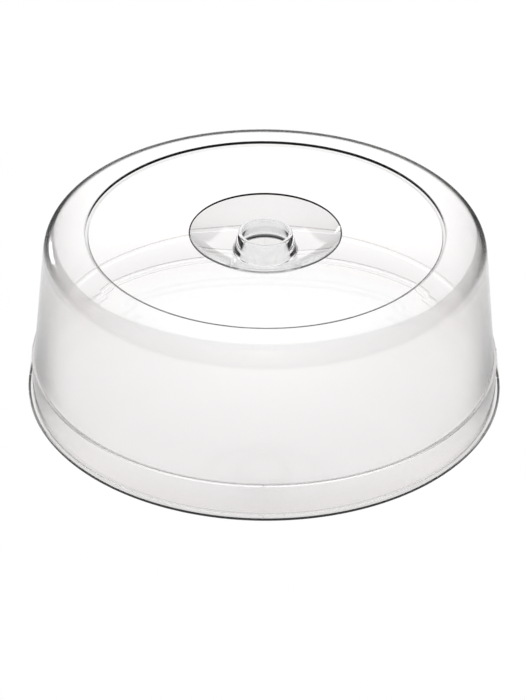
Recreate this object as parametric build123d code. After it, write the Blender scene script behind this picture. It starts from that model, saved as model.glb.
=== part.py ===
from build123d import *
from math import atan2, cos, hypot, pi, sin, sqrt, tan
import os

os.makedirs("parts", exist_ok=True)

# Round cake stand with a clear moulded cover. Millimetres, +Z up, origin in the
# middle of the face that the plate rests on. Every piece is turned about Z.

# Whole object
plate_radius = 150.3  # widest point
overall_height = 112.0  # up to the raised margin round the flat top

# Plate under the cover
plate_thickness = 2.9
plate_rim_width = 2.7  # of the plate outside the cover's foot
plate_edge_bevel = 0.4
foot_ring_width = 7.8  # the plate stands on this ring along its edge
foot_ring_height = 0.6

# Foot band of the cover, which stands on the plate
band_height = 22.1
band_flare = 0.6  # radius gained from the ledge down to the foot
band_thickness = 2.4
ledge_width = 1.5
ledge_bevel = 0.3

# Ribs on the outside of the foot band
rib_count = 4
rib_width = 1.0
rib_drop = 0.3  # the rib starts this far under the ledge
rib_top_reach = 0.35  # beyond the band at the top of the rib
rib_foot_inset = 0.15  # the rib's foot stops this far inside the plate's edge

# Wall and shoulder of the cover
wall_draft = 0.110  # radius lost for each millimetre of height
wall_thickness = 2.2
shoulder_width = 9.4  # horizontal half axis of the rounded shoulder
shoulder_height = 15.2  # vertical half axis of the rounded shoulder
shoulder_steps = 6  # straight runs that the curve of the shoulder is made of

# Top of the cover
margin_rise = 0.5  # the margin climbs this much from the shoulder to its inner edge
margin_inner_radius = 111.7
margin_edge_bevel = 0.2
step_width = 2.15  # the step slopes down over this width
step_drop = 1.15  # from the margin's inner edge down to the flat top
step_foot_round = 1.2
top_thickness = 2.0

# Sunk dish with the finger collar
opening_radius = 46.7  # of the opening in the cover that the dish fills
dish_lap_width = 1.0  # flange of the dish under the edge of the opening
dish_lap_depth = 1.0  # from the flat top down to the top of the flange
dish_clearance = 0.1  # all round the dish in its seat
dish_depth = 13.0  # from the flat top down to the foot of the collar
dish_sag = 2.3  # of the bowl's arc below the chord from rim to collar
dish_steps = 3  # straight runs that the bowl's arc is made of
dish_thickness = 2.2
collar_foot_radius = 19.9
collar_top_radius = 16.7
collar_foot_bore = 16.3  # radius
collar_top_bore = 14.5  # radius
collar_fall = 0.6  # the collar's top lies this far under the flat top
collar_foot_round = 1.6
collar_top_bevel = 0.5

# Heights and radii that follow
band_foot = plate_thickness
band_top = band_foot + band_height
foot_radius = plate_radius - plate_rim_width
band_top_radius = foot_radius - band_flare
wall_foot_radius = band_top_radius - ledge_width
shoulder_top = overall_height - margin_rise
flat_top = overall_height - step_drop
flat_underside = flat_top - top_thickness
lap_height = flat_top - dish_lap_depth
lap_bore = opening_radius + dish_lap_width


def turned(profile):
    """Full turn about Z of a closed profile drawn in the XZ plane."""
    return revolve(profile.sketch, Axis.Z, 360)


def corner(profile, radius, height):
    """Corner of the profile nearest to a radius and height."""
    return profile.sketch.vertices().sort_by_distance((radius, 0, height))[0]


def base_plate():
    """Flat plate that stands on a low foot ring."""
    foot_ring_bore = plate_radius - foot_ring_width
    with BuildSketch(Plane.XZ) as profile:
        with BuildLine():
            Polyline(
                (0, foot_ring_height),
                (foot_ring_bore, foot_ring_height),
                (foot_ring_bore, 0),
                (plate_radius, 0),
                (plate_radius, plate_thickness),
                (0, plate_thickness),
                close=True,
            )
        make_face()
        chamfer(corner(profile, plate_radius, 0), plate_edge_bevel)
        chamfer(corner(profile, plate_radius, plate_thickness), plate_edge_bevel)
    return turned(profile)


def shoulder(wall_radius, top_height, width, height):
    """Elliptical shoulder that leaves the drafted wall without a kink and ends level.

    wall_radius is the wall's radius at the top of the foot band.
    """
    start = atan2(wall_draft * height, width)
    centre_height = top_height - height
    start_height = centre_height + height * sin(start)
    start_radius = wall_radius - wall_draft * (start_height - band_top)
    centre_radius = start_radius - width * cos(start)
    points = []
    for step in range(shoulder_steps + 1):
        turn = start + (pi / 2 - start) * step / shoulder_steps
        points.append((centre_radius + width * cos(turn), centre_height + height * sin(turn)))
    return Polyline(*points)


def cover_shell():
    """Foot band, ledge, drafted wall, shoulder, margin and flat top with its opening."""
    wall_foot_bore = wall_foot_radius - wall_thickness
    inner_ledge = band_top - band_thickness
    step_foot_radius = margin_inner_radius - step_width
    # the corners under the step lie this much further in, so that it is as thick as the top
    step_lean = top_thickness * tan(atan2(step_drop, step_width) / 2)
    with BuildSketch(Plane.XZ) as profile:
        with BuildLine():
            outer = shoulder(wall_foot_radius, shoulder_top, shoulder_width, shoulder_height)
            inner = shoulder(
                wall_foot_bore,
                shoulder_top - top_thickness,
                shoulder_width - wall_thickness,
                shoulder_height - top_thickness,
            )
            Polyline(
                outer @ 0,
                (wall_foot_radius, band_top),
                (band_top_radius, band_top),
                (foot_radius, band_foot),
                (foot_radius - band_thickness, band_foot),
                (band_top_radius - band_thickness, inner_ledge),
                (wall_foot_bore, inner_ledge),
                inner @ 0,
            )
            Polyline(
                outer @ 1,
                (margin_inner_radius, overall_height),
                (step_foot_radius, flat_top),
                (opening_radius, flat_top),
                (opening_radius, lap_height),
                (lap_bore, lap_height),
                (lap_bore, flat_underside),
                (step_foot_radius - step_lean, flat_underside),
                (margin_inner_radius - step_lean, overall_height - top_thickness),
                inner @ 1,
            )
        make_face()
        chamfer(corner(profile, band_top_radius, band_top), ledge_bevel)
        chamfer(corner(profile, margin_inner_radius, overall_height), margin_edge_bevel)
        fillet(corner(profile, step_foot_radius, flat_top), step_foot_round)
    return turned(profile)


def rib():
    """Upright wedge on the foot band, from under the ledge out to the plate's edge."""
    rib_top = band_top - rib_drop
    with BuildSketch(Plane.XZ) as side:
        with BuildLine():
            Polyline(
                (band_top_radius - band_thickness / 2, rib_top),
                (band_top_radius + rib_top_reach, rib_top),
                (plate_radius - rib_foot_inset, band_foot),
                (foot_radius - band_thickness / 2, band_foot),
                close=True,
            )
        make_face()
    return extrude(side.sketch, rib_width / 2, both=True)


def dome_cover():
    """Cover with its ribs, one at the front and the others evenly round it."""
    with BuildPart() as cover:
        add(cover_shell())
        with PolarLocations(0, rib_count, start_angle=-90):
            add(rib())
    return cover.part


def handle_dish():
    """Bowl held from below in the cover's opening, with the finger collar in its middle."""
    rim_radius = opening_radius - dish_clearance
    flange_radius = lap_bore - dish_clearance
    collar_top = flat_top - collar_fall
    floor_height = flat_top - dish_depth
    run = rim_radius - collar_foot_radius
    chord = hypot(run, dish_depth)
    bowl_radius = (chord**2 / (4 * dish_sag) + dish_sag) / 2
    lift = (bowl_radius - dish_sag) / chord
    centre_radius = (rim_radius + collar_foot_radius) / 2 - lift * dish_depth
    centre_height = (flat_top + floor_height) / 2 + lift * run

    def bowl_point(radius, depth):
        """Point of the bowl's arc, or of the arc that lies this deep under it."""
        arc_radius = bowl_radius + depth
        return (radius, centre_height - sqrt(arc_radius**2 - (radius - centre_radius) ** 2))

    def bowl_curve(from_radius, to_radius, depth):
        """The bowl's curve between two radii."""
        points = []
        for step in range(dish_steps + 1):
            radius = from_radius + (to_radius - from_radius) * step / dish_steps
            points.append(bowl_point(radius, depth))
        return Polyline(*points)

    with BuildSketch(Plane.XZ) as profile:
        with BuildLine():
            inside = bowl_curve(rim_radius, collar_foot_radius, 0)
            underside = bowl_curve(collar_foot_bore, flange_radius, dish_thickness)
            Polyline(
                inside @ 1,
                (collar_top_radius, collar_top),
                (collar_top_bore, collar_top),
                underside @ 0,
            )
            Polyline(
                underside @ 1,
                (flange_radius, lap_height),
                (rim_radius, lap_height),
                inside @ 0,
            )
        make_face()
        fillet(corner(profile, collar_foot_radius, floor_height), collar_foot_round)
        chamfer(corner(profile, collar_top_radius, collar_top), collar_top_bevel)
        chamfer(corner(profile, collar_top_bore, collar_top), collar_top_bevel)
    return turned(profile)


pieces = {
    "base_plate": base_plate(),
    "dome_cover": dome_cover(),
    "handle_dish": handle_dish(),
}
for name, piece in pieces.items():
    export_step(piece, f"parts/{name}.step")
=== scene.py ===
import math

import bmesh
import bpy
from mathutils import Matrix, Vector


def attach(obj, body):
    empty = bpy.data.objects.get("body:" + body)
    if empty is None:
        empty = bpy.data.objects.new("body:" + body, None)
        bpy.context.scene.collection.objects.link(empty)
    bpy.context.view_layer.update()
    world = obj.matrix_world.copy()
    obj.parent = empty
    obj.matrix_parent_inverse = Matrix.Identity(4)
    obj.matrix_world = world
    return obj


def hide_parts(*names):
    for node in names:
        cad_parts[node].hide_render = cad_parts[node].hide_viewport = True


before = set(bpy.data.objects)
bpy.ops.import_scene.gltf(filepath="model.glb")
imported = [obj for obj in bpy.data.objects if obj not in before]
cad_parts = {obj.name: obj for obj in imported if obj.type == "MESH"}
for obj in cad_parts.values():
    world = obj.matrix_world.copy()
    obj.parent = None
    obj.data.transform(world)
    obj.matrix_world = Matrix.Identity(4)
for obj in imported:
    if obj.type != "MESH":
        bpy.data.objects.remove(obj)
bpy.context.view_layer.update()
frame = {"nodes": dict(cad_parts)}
print("frame loaded:", ", ".join(frame["nodes"]))


# Camera, at the photograph's angle. It is made first because the view is fixed.
cameraSettings = {
    "distance": 1.626,
    "elevation": 33.58,  # degrees above the table
    "roll": 0.46,
    "target": (-0.0012, 0.0, 0.02268),
    "lens": 131.61,
    "sensor": 36.0,
    "clipEnd": 50.0,
}


def makeCamera(settings):
    data = bpy.data.cameras.new("camera")
    data.lens = settings["lens"]
    data.sensor_width = settings["sensor"]
    data.sensor_fit = "AUTO"
    data.clip_end = settings["clipEnd"]
    camera = bpy.data.objects.new("camera", data)
    bpy.context.scene.collection.objects.link(camera)
    target = Vector(settings["target"])
    tilt = math.radians(settings["elevation"])
    place = target + settings["distance"] * Vector((0.0, -math.cos(tilt), math.sin(tilt)))
    turn = (target - place).to_track_quat("-Z", "Y").to_matrix().to_4x4()
    roll = Matrix.Rotation(math.radians(settings["roll"]), 4, "Z")
    camera.matrix_world = Matrix.Translation(place) @ turn @ roll
    bpy.context.scene.camera = camera


makeCamera(cameraSettings)
print("camera in place")


# Shader maths: a socket that adds, multiplies and so on by adding Math nodes.
class Value:
    def __init__(self, nodes, socket):
        self.nodes = nodes
        self.socket = socket

    def mathNode(self, operation, first, second, clamp=False):
        return self.nodes.add(
            "ShaderNodeMath", {"operation": operation, "use_clamp": clamp}, {0: first, 1: second}
        )[0]

    def __add__(self, other):
        return self.mathNode("ADD", self, other)

    def __sub__(self, other):
        return self.mathNode("SUBTRACT", self, other)

    def __rsub__(self, other):
        return self.mathNode("SUBTRACT", other, self)

    def __mul__(self, other):
        return self.mathNode("MULTIPLY", self, other)

    def __pow__(self, other):
        return self.mathNode("POWER", self, other)

    def larger(self, other):
        return self.mathNode("MAXIMUM", self, other)

    def clamped(self):
        return self.mathNode("ADD", self, 0.0, clamp=True)


class Nodes:
    def __init__(self, tree):
        self.tree = tree
        tree.nodes.clear()

    def add(self, kind, settings=None, sockets=None):
        node = self.tree.nodes.new(kind)
        for key, value in (settings or {}).items():
            setattr(node, key, value)
        for key, value in (sockets or {}).items():
            if isinstance(value, Value):
                self.tree.links.new(value.socket, node.inputs[key])
            else:
                node.inputs[key].default_value = value
        return [Value(self, socket) for socket in node.outputs]

    def smoothStep(self, value, low, high):
        return self.add(
            "ShaderNodeMapRange",
            {"interpolation_type": "SMOOTHSTEP"},
            {"Value": value, "From Min": low, "From Max": high},
        )[0]

    def dot(self, vector, axis):
        return self.add(
            "ShaderNodeVectorMath", {"operation": "DOT_PRODUCT"}, {0: vector, 1: tuple(axis)}
        )[1]

    def length(self, vector):
        return self.add("ShaderNodeVectorMath", {"operation": "LENGTH"}, {0: vector})[1]

    def absolute(self, value):
        return self.add("ShaderNodeMath", {"operation": "ABSOLUTE"}, {0: value})[0]

    def noise(self, place, scale):
        return self.add("ShaderNodeTexNoise", None, {"Vector": place, "Scale": scale})[0]

    def reflectedOnce(self):
        # 1 for light that has been reflected at least once on its way, and 0 for all other.
        path = self.tree.nodes.new("ShaderNodeLightPath")
        return Value(self, path.outputs["Glossy Depth"]).clamped()


# World. It is white for light that hasn't been reflected. Reflected light meets another
# surrounding instead: dark walls, a dark grey card behind the camera and two bright boxes. It
# isn't a plain studio, and was fitted to the photograph's view to draw its dark outlines.
worldSettings = {
    "wall": 0.12,
    "ceiling": 0.3,
    "overhead": (0.75, 0.95),  # from wall to ceiling, by the direction's Z
    "reflector": 0.2,
    "reflectorEdge": (-0.45, -0.05),  # from full to none, by the direction's Y
    "bounces": 24,  # light runs a long way inside clear edges
    "mirrorBounces": 7,
}
softBoxes = {
    "back": {
        "azimuth": 0.0,
        "elevation": 36.0,
        "width": 50.0,
        "height": 38.0,
        "level": 1.45,
        "soft": 3.0,
    },
    "low": {
        "azimuth": -42.0,
        "elevation": 2.0,
        "width": 12.0,
        "height": 20.0,
        "level": 6.0,
        "soft": 3.0,
    },
}


def softBox(nodes, direction, box):
    # Azimuth is measured from +Y towards +X, and every size is in degrees.
    turn = math.radians(box["azimuth"])
    tilt = math.radians(box["elevation"])
    ahead = Vector(
        (math.sin(turn) * math.cos(tilt), math.cos(turn) * math.cos(tilt), math.sin(tilt))
    )
    right = Vector((math.cos(turn), -math.sin(turn), 0.0))
    up = right.cross(ahead)
    facing = (0.0, 0.1)  # keeps the box on its own side of the world
    mask = nodes.smoothStep(nodes.dot(direction, ahead), *facing)
    for axis, size in ((right, box["width"]), (up, box["height"])):
        offset = nodes.absolute(nodes.dot(direction, axis))
        edge = math.sin(math.radians(size / 2.0))
        soft = math.sin(math.radians(box["soft"] / 2.0))
        mask = mask * (1.0 - nodes.smoothStep(offset, edge - soft, edge + soft))
    return mask


def makeWorld(settings, boxes):
    world = bpy.data.worlds.new("studio")
    world.use_nodes = True
    nodes = Nodes(world.node_tree)
    direction = nodes.add("ShaderNodeTexCoord")[0]
    parts = nodes.add("ShaderNodeSeparateXYZ", None, {0: direction})
    full, none = settings["reflectorEdge"]
    behindCamera = 1.0 - nodes.smoothStep(parts[1], full, none)
    overhead = nodes.smoothStep(parts[2], *settings["overhead"])
    light = behindCamera * (settings["reflector"] - settings["wall"]) + settings["wall"]
    light = light + overhead * (settings["ceiling"] - light)
    for box in boxes.values():
        mask = softBox(nodes, direction, box)
        light = light + mask * (box["level"] - light)
    reflected = nodes.reflectedOnce()
    shown = reflected * (light - 1.0) + 1.0
    background = nodes.add(
        "ShaderNodeBackground", None, {"Color": (1.0, 1.0, 1.0, 1.0), "Strength": shown}
    )[0]
    nodes.add("ShaderNodeOutputWorld", None, {0: background})
    scene = bpy.context.scene
    scene.world = world
    scene.cycles.max_bounces = settings["bounces"]
    scene.cycles.glossy_bounces = settings["mirrorBounces"]
    scene.cycles.transmission_bounces = settings["bounces"]


makeWorld(worldSettings, softBoxes)
print("studio light set")


# Floor: an emitting table that the camera sees pure white. Its ring of shadow is painted shadow,
# written in by place. No shadow is cast, so the ring shows only through the plastic and stays
# where it is when the cover lifts. The dark ends of the table were fitted to the photograph's
# view: far out they darken only reflections, and the dark patches behind at the sides are painted
# shade that draws the plastic's dark outlines, partly also straight through it.
floorSettings = {
    "halfWidth": 6.0,
    "drop": 0.0005,
    "centre": 0.03,  # the ring's middle lies this far behind the object's
    "middle": 0.99,  # light left under the middle, under the foot and at the front
    "underFoot": 0.78,
    "front": 0.71,
    "fullRadius": 0.12,
    "deepening": 0.6,  # power by which the ring deepens outward
    "sideways": 0.8,
    "frontDeepening": (0.09, 0.14),
    "fading": (0.14, 0.2),
    "farEdge": (0.4, 0.7),  # where the white table ends in reflections
    "sideEdge": (0.15, 0.17),  # painted dark patches at the sides, from backEdge on, that darken the plastic's outlines
    "backEdge": (0.16, 0.22),
    "seenThrough": 0.4,  # share of the painted dark sides that also shows straight through the plastic
    "far": 0.03,
}


def makeFloor(settings):
    mesh = bpy.data.meshes.new("floor")
    grid = bmesh.new()
    bmesh.ops.create_grid(grid, x_segments=1, y_segments=1, size=settings["halfWidth"])
    bmesh.ops.translate(grid, verts=grid.verts, vec=(0.0, 0.0, -settings["drop"]))
    grid.to_mesh(mesh)
    grid.free()
    floor = bpy.data.objects.new("floor", mesh)
    bpy.context.scene.collection.objects.link(floor)
    material = bpy.data.materials.new("white table")
    material.use_nodes = True
    nodes = Nodes(material.node_tree)
    place = nodes.add("ShaderNodeTexCoord")[3]
    radius = nodes.length(place)
    forward = nodes.dot(place, (0.0, -1.0, 0.0))
    middle, foot, front = settings["middle"], settings["underFoot"], settings["front"]
    centred = nodes.add(
        "ShaderNodeVectorMath",
        {"operation": "MULTIPLY_ADD"},
        {0: place, 1: (settings["sideways"], 1.0, 1.0), 2: (0.0, -settings["centre"], 0.0)},
    )[0]
    # painted shadow: a ring of shade under the object, deepest under the foot and at the front
    outward = (nodes.length(centred) * (1.0 / settings["fullRadius"])).clamped()
    outward = outward ** settings["deepening"]
    depth = outward * (middle - foot) + (1.0 - middle)
    depth = depth + nodes.smoothStep(forward, *settings["frontDeepening"]) * (foot - front)
    shadow = 1.0 - depth * (1.0 - nodes.smoothStep(radius, *settings["fading"]))
    # painted shade: dark patches behind the object at the sides, for reflections and partly
    # straight through the plastic, that draw its dark outlines
    sideways = nodes.absolute(nodes.dot(place, (1.0, 0.0, 0.0)))
    backward = nodes.dot(place, (0.0, 1.0, 0.0))
    reflected = nodes.reflectedOnce()
    away = nodes.smoothStep(radius, *settings["farEdge"]) * reflected
    paintedDarkSides = nodes.smoothStep(sideways, *settings["sideEdge"])
    paintedDarkSides = paintedDarkSides * nodes.smoothStep(backward, *settings["backEdge"])
    share = settings["seenThrough"]
    away = away.larger(paintedDarkSides * (reflected * (1.0 - share) + share))
    light = shadow + away * (settings["far"] - 1.0)
    cameraRay = nodes.add("ShaderNodeLightPath")[0]
    glow = light + cameraRay * (1.0 - light)
    shine = nodes.add(
        "ShaderNodeEmission", None, {"Color": (1.0, 1.0, 1.0, 1.0), "Strength": glow}
    )[0]
    nodes.add("ShaderNodeOutputMaterial", None, {0: shine})
    mesh.materials.append(material)


makeFloor(floorSettings)
print("table made")


# Clear moulded plastic.
plasticSettings = {
    "ior": 1.57,
    "clear": (1.0, 1.0, 1.0, 1.0),
    "tint": (1.0, 0.985, 0.98, 1.0),  # of the satin wall and band
    "polished": 0.0,  # roughness of the clear top
    "satin": 0.13,  # roughness of the wall and band
    "satinEdge": (0.124, 0.136),  # the radii between which the polished top becomes satin
    "ground": 0.3,  # roughness of the cover's foot, which is ground flat
    "groundTop": (0.003, 0.0034),
    "mottleScale": 45.0,
    "mottle": 0.02,  # how much the roughness varies
    "tintShare": (0.8, 0.4),  # of the tint in the satin zone, and how much the noise adds
    "waveScale": 14.0,
    "wave": 0.04,  # strength of the moulded surface's slight waves
    "waveDepth": 0.0002,
}
platePlastic = {**plasticSettings, "polished": 0.05, "satin": 0.05, "ground": 0.05}
dishPlastic = {**plasticSettings, "satin": 0.0}


def clearPlastic(name, settings):
    material = bpy.data.materials.new(name)
    material.use_nodes = True
    nodes = Nodes(material.node_tree)
    place = nodes.add("ShaderNodeTexCoord")[3]
    level = nodes.add(
        "ShaderNodeVectorMath", {"operation": "MULTIPLY"}, {0: place, 1: (1.0, 1.0, 0.0)}
    )[0]
    radius = nodes.length(level)
    polishedTo, satinFrom = settings["satinEdge"]
    satin = nodes.smoothStep(radius, polishedTo, satinFrom)
    roughness = satin * (settings["satin"] - settings["polished"]) + settings["polished"]
    height = nodes.dot(place, (0.0, 0.0, 1.0))
    ground = 1.0 - nodes.smoothStep(height, *settings["groundTop"])
    roughness = roughness + ground * (settings["ground"] - roughness)
    noise = nodes.noise(place, settings["mottleScale"])
    roughness = roughness + satin * (noise - 0.5) * settings["mottle"]
    waves = nodes.noise(place, settings["waveScale"])
    normal = nodes.add(
        "ShaderNodeBump",
        None,
        {"Strength": settings["wave"], "Distance": settings["waveDepth"], "Height": waves},
    )[0]
    least, added = settings["tintShare"]
    colour = nodes.add(
        "ShaderNodeMix",
        {"data_type": "RGBA"},
        {
            0: (satin * (noise * added + least)).clamped(),
            6: settings["clear"],
            7: settings["tint"],
        },
    )[2]
    surface = nodes.add(
        "ShaderNodeBsdfPrincipled",
        None,
        {
            "Base Color": colour,
            "Roughness": roughness,
            "IOR": settings["ior"],
            "Transmission Weight": 1.0,
            "Normal": normal,
        },
    )[0]
    nodes.add("ShaderNodeOutputMaterial", None, {0: surface})
    return material


def bondedSeam():
    # Clear cement fills the joint between dish and cover, so its faces don't show.
    material = bpy.data.materials.get("bonded seam") or bpy.data.materials.new("bonded seam")
    material.use_nodes = True
    nodes = Nodes(material.node_tree)
    surface = nodes.add("ShaderNodeBsdfPrincipled", None, {"Alpha": 0.0})[0]
    nodes.add("ShaderNodeOutputMaterial", None, {0: surface})
    return material


# Every piece is turned from a profile of corners and arcs, in millimetres.
bevelSegments = 8
mergeDistance = 0.0001
seamTolerance = 0.02


def corner(radius, height, rounding=0.0):
    return {"at": (radius, height), "rounding": rounding}


def arc(centre, halfWidth, halfHeight, start, end, steps):
    return {
        "centre": centre,
        "halfWidth": halfWidth,
        "halfHeight": halfHeight,
        "start": start,
        "end": end,
        "steps": steps,
    }


def drawCorner(shape, part):
    radius, height = part["at"]
    vert = shape.verts.new((radius, 0.0, height))
    return vert, vert


def drawArc(shape, part):
    centre = Vector((part["centre"][0], 0.0, part["centre"][1]))
    reach = Vector((math.cos(part["start"]), 0.0, math.sin(part["start"]))) * part["halfWidth"]
    first = shape.verts.new(centre + reach)
    before = set(shape.verts)
    swept = bmesh.ops.spin(
        shape,
        geom=[first],
        cent=centre,
        axis=(0.0, -1.0, 0.0),
        angle=part["end"] - part["start"],
        steps=part["steps"],
    )
    last = [item for item in swept["geom_last"] if isinstance(item, bmesh.types.BMVert)][0]
    added = [first] + [vert for vert in shape.verts if vert not in before]
    stretch = part["halfHeight"] / part["halfWidth"]
    bmesh.ops.scale(
        shape, verts=added, vec=(1.0, 1.0, stretch), space=Matrix.Translation(-centre)
    )
    return first, last


def turnProfile(parts, turnSteps, closed=True):
    shape = bmesh.new()
    ends = []
    rounded = {}
    for part in parts:
        if "at" in part:
            ends.append(drawCorner(shape, part))
            if part["rounding"]:
                rounded.setdefault(part["rounding"], []).append(ends[-1][0])
        else:
            ends.append(drawArc(shape, part))
    for this, following in zip(ends, ends[1:]):
        shape.edges.new((this[1], following[0]))
    if closed:
        shape.edges.new((ends[-1][1], ends[0][0]))
    for rounding, verts in rounded.items():
        bmesh.ops.bevel(
            shape,
            geom=verts,
            offset=rounding,
            offset_type="OFFSET",
            segments=bevelSegments,
            profile=0.5,
            affect="VERTICES",
            clamp_overlap=False,
            material=-1,
        )
    bmesh.ops.spin(
        shape,
        geom=shape.verts[:] + shape.edges[:],
        cent=(0.0, 0.0, 0.0),
        axis=(0.0, 0.0, 1.0),
        angle=2.0 * math.pi,
        steps=turnSteps,
        use_merge=True,
    )
    bmesh.ops.remove_doubles(shape, verts=shape.verts, dist=mergeDistance)
    bmesh.ops.recalc_face_normals(shape, faces=shape.faces)
    return shape


def markSeam(shape, lines):
    # Faces swept by these lines of the profile are bonded to the other piece.
    for face in shape.faces:
        for first, second in lines:
            heights = sorted((first[1], second[1]))
            radii = sorted((first[0], second[0]))
            inside = all(
                radii[0] - seamTolerance
                <= math.hypot(vert.co.x, vert.co.y)
                <= radii[1] + seamTolerance
                and heights[0] - seamTolerance <= vert.co.z <= heights[1] + seamTolerance
                for vert in face.verts
            )
            if inside:
                face.material_index = 1


def finishPiece(name, shape, sharpAngle=25.0):
    bmesh.ops.scale(shape, verts=shape.verts, vec=(0.001, 0.001, 0.001))
    mesh = bpy.data.meshes.new(name)
    shape.to_mesh(mesh)
    shape.free()
    mesh.polygons.foreach_set("use_smooth", [True] * len(mesh.polygons))
    mesh.set_sharp_from_angle(angle=math.radians(sharpAngle))
    piece = bpy.data.objects.new(name, mesh)
    bpy.context.scene.collection.objects.link(piece)
    return piece


# Plate under the cover.
plateSizes = {
    "radius": 150.3,
    "top": 2.88,
    "edgeRound": 0.3,
    "undercut": (1.6, 1.25),  # cut away under the edge
    "undercutRound": 0.2,
    "ringBore": 142.5,
    "ringHeight": 0.6,
    "turnSteps": 384,
}


def makePlate(sizes):
    shape = turnProfile(
        [
            corner(0.0, sizes["ringHeight"]),
            corner(sizes["ringBore"], sizes["ringHeight"]),
            corner(sizes["ringBore"], 0.0),
            corner(sizes["radius"] - sizes["undercut"][0], 0.0, sizes["undercutRound"]),
            corner(sizes["radius"], sizes["undercut"][1], sizes["undercutRound"]),
            corner(sizes["radius"], sizes["top"], sizes["edgeRound"]),
            corner(0.0, sizes["top"]),
        ],
        sizes["turnSteps"],
        closed=False,
    )
    plate = finishPiece("clear_plate", shape)
    plate.data.materials.append(clearPlastic("clear plate", platePlastic))
    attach(plate, "base")
    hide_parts("base_plate")


makePlate(plateSizes)
print("plate made")


# Cover with its foot band, ledge, wall, shoulder, margin and flat top.
coverSizes = {
    "foot": 2.9,
    "footRadius": 147.6,
    "bandTop": 25.0,
    "bandTopRadius": 147.0,
    "bandThickness": 2.4,
    "ledgeWidth": 1.5,
    "ledgeRound": 0.1,
    "wallFootRound": 0.1,
    "draft": 0.110,
    "wallThickness": 2.2,
    "shoulderWidth": 9.4,
    "shoulderHeight": 15.2,
    "crownSlope": 0.6,  # where the round shoulder runs into the flatter crown of the margin
    "crownWidth": 10.0,
    "crownDrop": 1.9,
    "height": 112.0,
    "marginRadius": 111.7,
    "marginRound": 0.6,
    "stepWidth": 2.15,
    "stepDrop": 1.15,
    "stepRound": 0.6,
    "topThickness": 2.0,
    "openingRadius": 46.7,
    "lapWidth": 1.0,
    "lapDepth": 1.0,
    "ribWidth": 1.0,
    "ribDrop": 0.3,
    "ribTopReach": 0.35,
    "ribFootReach": 2.55,
    "ribSink": 0.05,  # into the band
    "ribLift": 0.02,  # off the plate
    "ribCount": 4,
    "turnSteps": 384,
}
flatTop = coverSizes["height"] - coverSizes["stepDrop"]


def shoulderArcs(sizes, wallRadius, inset, steps=20):
    # Leaves the tapered wall without a kink, runs into the crown, and ends level.
    width = sizes["shoulderWidth"] - inset
    height = sizes["shoulderHeight"] - inset
    slope = sizes["crownSlope"]
    lean = math.atan(slope)
    crownTop = sizes["height"] - inset
    crownWidth = sizes["crownWidth"] - inset * math.sin(lean)
    crownDrop = sizes["crownDrop"] - inset * (1.0 - math.cos(lean))
    start = math.atan2(sizes["draft"] * height, width)
    end = math.atan2(height, width * slope)
    centreHeight = crownTop - crownDrop - height * math.sin(end)
    startHeight = centreHeight + height * math.sin(start)
    startRadius = wallRadius - sizes["draft"] * (startHeight - sizes["bandTop"])
    centreRadius = startRadius - width * math.cos(start)
    shoulder = arc((centreRadius, centreHeight), width, height, start, end, steps)
    share = crownDrop / (slope * crownWidth - crownDrop)
    crownStart = math.asin(share)
    reach = crownWidth / math.cos(crownStart)
    rise = slope * reach * math.tan(crownStart)
    crownRadius = centreRadius + width * math.cos(end) - crownWidth
    crown = arc((crownRadius, crownTop - rise), reach, rise, crownStart, math.pi / 2.0, steps)
    return [shoulder, crown]


def backwards(part):
    return {**part, "start": part["end"], "end": part["start"]}


def addRib(shape, sizes, angle):
    half = sizes["ribWidth"] / 2.0
    sink = sizes["ribSink"]
    foot = sizes["foot"] + sizes["ribLift"]
    top = sizes["bandTop"] - sizes["ribDrop"]
    outline = [
        (sizes["footRadius"] - sink, foot),
        (sizes["footRadius"] + sizes["ribFootReach"], foot),
        (sizes["bandTopRadius"] + sizes["ribTopReach"], top),
        (sizes["bandTopRadius"] - sink, top),
    ]
    verts = [shape.verts.new((radius, -half, height)) for radius, height in outline]
    side = shape.faces.new(verts)
    grown = bmesh.ops.extrude_face_region(shape, geom=[side])["geom"]
    moved = [item for item in grown if isinstance(item, bmesh.types.BMVert)]
    bmesh.ops.translate(shape, verts=moved, vec=(0.0, 2.0 * half, 0.0))
    bmesh.ops.rotate(
        shape,
        verts=verts + moved,
        cent=(0.0, 0.0, 0.0),
        matrix=Matrix.Rotation(angle, 3, "Z"),
    )
    faces = {face for vert in verts + moved for face in vert.link_faces}
    bmesh.ops.recalc_face_normals(shape, faces=list(faces))


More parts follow.
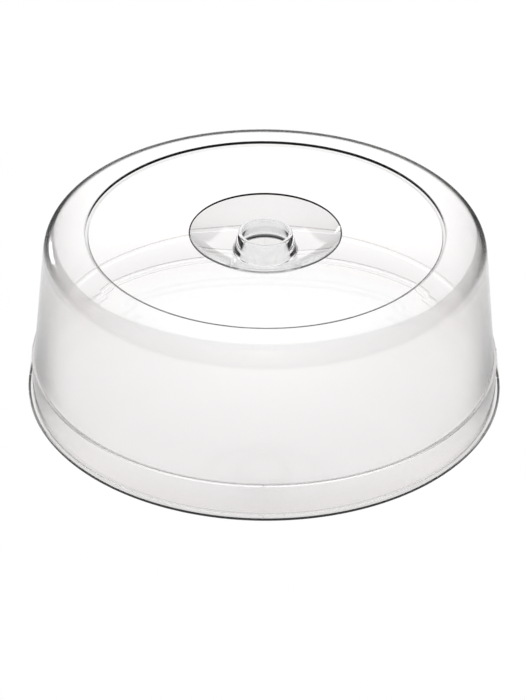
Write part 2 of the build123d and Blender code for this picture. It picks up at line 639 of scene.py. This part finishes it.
def makeCover(sizes):
    wallFoot = sizes["bandTopRadius"] - sizes["ledgeWidth"]
    wallBore = wallFoot - sizes["wallThickness"]
    innerLedge = sizes["bandTop"] - sizes["bandThickness"]
    stepFoot = sizes["marginRadius"] - sizes["stepWidth"]
    thickness = sizes["topThickness"]
    underTop = flatTop - thickness
    # The step is as thick as the top on both sides of it.
    stepLean = thickness * math.tan(math.atan2(sizes["stepDrop"], sizes["stepWidth"]) / 2.0)
    outer = shoulderArcs(sizes, wallFoot, 0.0)
    inner = shoulderArcs(sizes, wallBore, thickness)
    lapHeight = flatTop - sizes["lapDepth"]
    lapBore = sizes["openingRadius"] + sizes["lapWidth"]
    shape = turnProfile(
        [
            corner(wallBore, innerLedge),
            corner(sizes["bandTopRadius"] - sizes["bandThickness"], innerLedge),
            corner(sizes["footRadius"] - sizes["bandThickness"], sizes["foot"]),
            corner(sizes["footRadius"], sizes["foot"]),
            corner(sizes["bandTopRadius"], sizes["bandTop"], sizes["ledgeRound"]),
            corner(wallFoot, sizes["bandTop"], sizes["wallFootRound"]),
            *outer,
            corner(sizes["marginRadius"], sizes["height"], sizes["marginRound"]),
            corner(stepFoot, flatTop, sizes["stepRound"]),
            corner(sizes["openingRadius"], flatTop),
            corner(sizes["openingRadius"], lapHeight),
            corner(lapBore, lapHeight),
            corner(lapBore, underTop),
            corner(stepFoot - stepLean, underTop),
            corner(sizes["marginRadius"] - stepLean, sizes["height"] - thickness),
            backwards(inner[1]),
            backwards(inner[0]),
        ],
        sizes["turnSteps"],
    )
    opening = sizes["openingRadius"]
    markSeam(
        shape,
        [
            ((opening, flatTop), (opening, lapHeight)),
            ((opening, lapHeight), (lapBore, lapHeight)),
            ((lapBore, lapHeight), (lapBore, underTop)),
        ],
    )
    for rib in range(sizes["ribCount"]):
        addRib(shape, sizes, rib * 2.0 * math.pi / sizes["ribCount"])
    cover = finishPiece("clear_cover", shape)
    cover.data.materials.append(clearPlastic("clear cover", plasticSettings))
    cover.data.materials.append(bondedSeam())
    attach(cover, "dome")
    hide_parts("dome_cover")


makeCover(coverSizes)
print("cover made")


# Sunk dish with the finger collar, bonded into the cover's opening. It fills the 0.1 mm that
# the CAD leaves clear round it, because the bond does.
dishSizes = {
    "radius": 46.7,
    "lapWidth": 1.0,
    "lapDepth": 1.0,
    "depth": 13.0,
    "sag": 2.3,
    "thickness": 2.0,
    "underRim": 0.6,  # the underside bends this far outside the rim
    "collarFoot": 19.9,
    "collarTop": 16.7,
    "footBore": 16.3,
    "topBore": 14.5,
    "collarFall": 0.6,
    "collarFootRound": 0.8,
    "bowlStop": 0.8,  # the bowl's arc stops this far outside the collar's foot
    "collarTopRound": 0.7,
    "boreRound": 1.2,
    "turnSteps": 256,
}


def bowlArc(sizes, fromRadius, toRadius, outward, drop, steps=20):
    # The bowl's arc, moved this far outward and down.
    run = sizes["radius"] - sizes["collarFoot"]
    chord = math.hypot(run, sizes["depth"])
    reach = (chord**2 / (4.0 * sizes["sag"]) + sizes["sag"]) / 2.0
    lift = (reach - sizes["sag"]) / chord
    centreRadius = (sizes["radius"] + sizes["collarFoot"]) / 2.0 - lift * sizes["depth"] + outward
    centreHeight = flatTop - sizes["depth"] / 2.0 + lift * run - drop
    start = -math.acos((fromRadius - centreRadius) / reach)
    end = -math.acos((toRadius - centreRadius) / reach)
    return arc((centreRadius, centreHeight), reach, reach, start, end, steps)


def heightAt(part, radius):
    centreRadius, centreHeight = part["centre"]
    return centreHeight - math.sqrt(part["halfWidth"] ** 2 - (radius - centreRadius) ** 2)


def makeDish(sizes):
    collarTop = flatTop - sizes["collarFall"]
    flange = sizes["radius"] + sizes["lapWidth"]
    lapHeight = flatTop - sizes["lapDepth"]
    inside = bowlArc(sizes, sizes["radius"], sizes["collarFoot"] + sizes["bowlStop"], 0.0, 0.0)
    underTop = flatTop - sizes["thickness"]
    outward = sizes["underRim"]
    underside = bowlArc(
        sizes,
        sizes["footBore"] + sizes["boreRound"],
        sizes["radius"] + outward,
        outward,
        sizes["thickness"],
    )
    boreFoot = heightAt(underside, sizes["footBore"])
    shape = turnProfile(
        [
            inside,
            corner(sizes["collarFoot"], flatTop - sizes["depth"], sizes["collarFootRound"]),
            corner(sizes["collarTop"], collarTop, sizes["collarTopRound"]),
            corner(sizes["topBore"], collarTop, sizes["collarTopRound"]),
            corner(sizes["footBore"], boreFoot, sizes["boreRound"]),
            underside,
            corner(flange, underTop),
            corner(flange, lapHeight),
            corner(sizes["radius"], lapHeight),
        ],
        sizes["turnSteps"],
    )
    markSeam(
        shape,
        [
            ((sizes["radius"], flatTop), (sizes["radius"], lapHeight)),
            ((sizes["radius"], lapHeight), (flange, lapHeight)),
            ((flange, lapHeight), (flange, underTop)),
        ],
    )
    dish = finishPiece("clear_dish", shape)
    dish.data.materials.append(clearPlastic("clear dish", dishPlastic))
    dish.data.materials.append(bondedSeam())
    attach(dish, "dome")
    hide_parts("handle_dish")


makeDish(dishSizes)
print("dish made")

bpy.context.scene.view_settings.view_transform = "Standard"
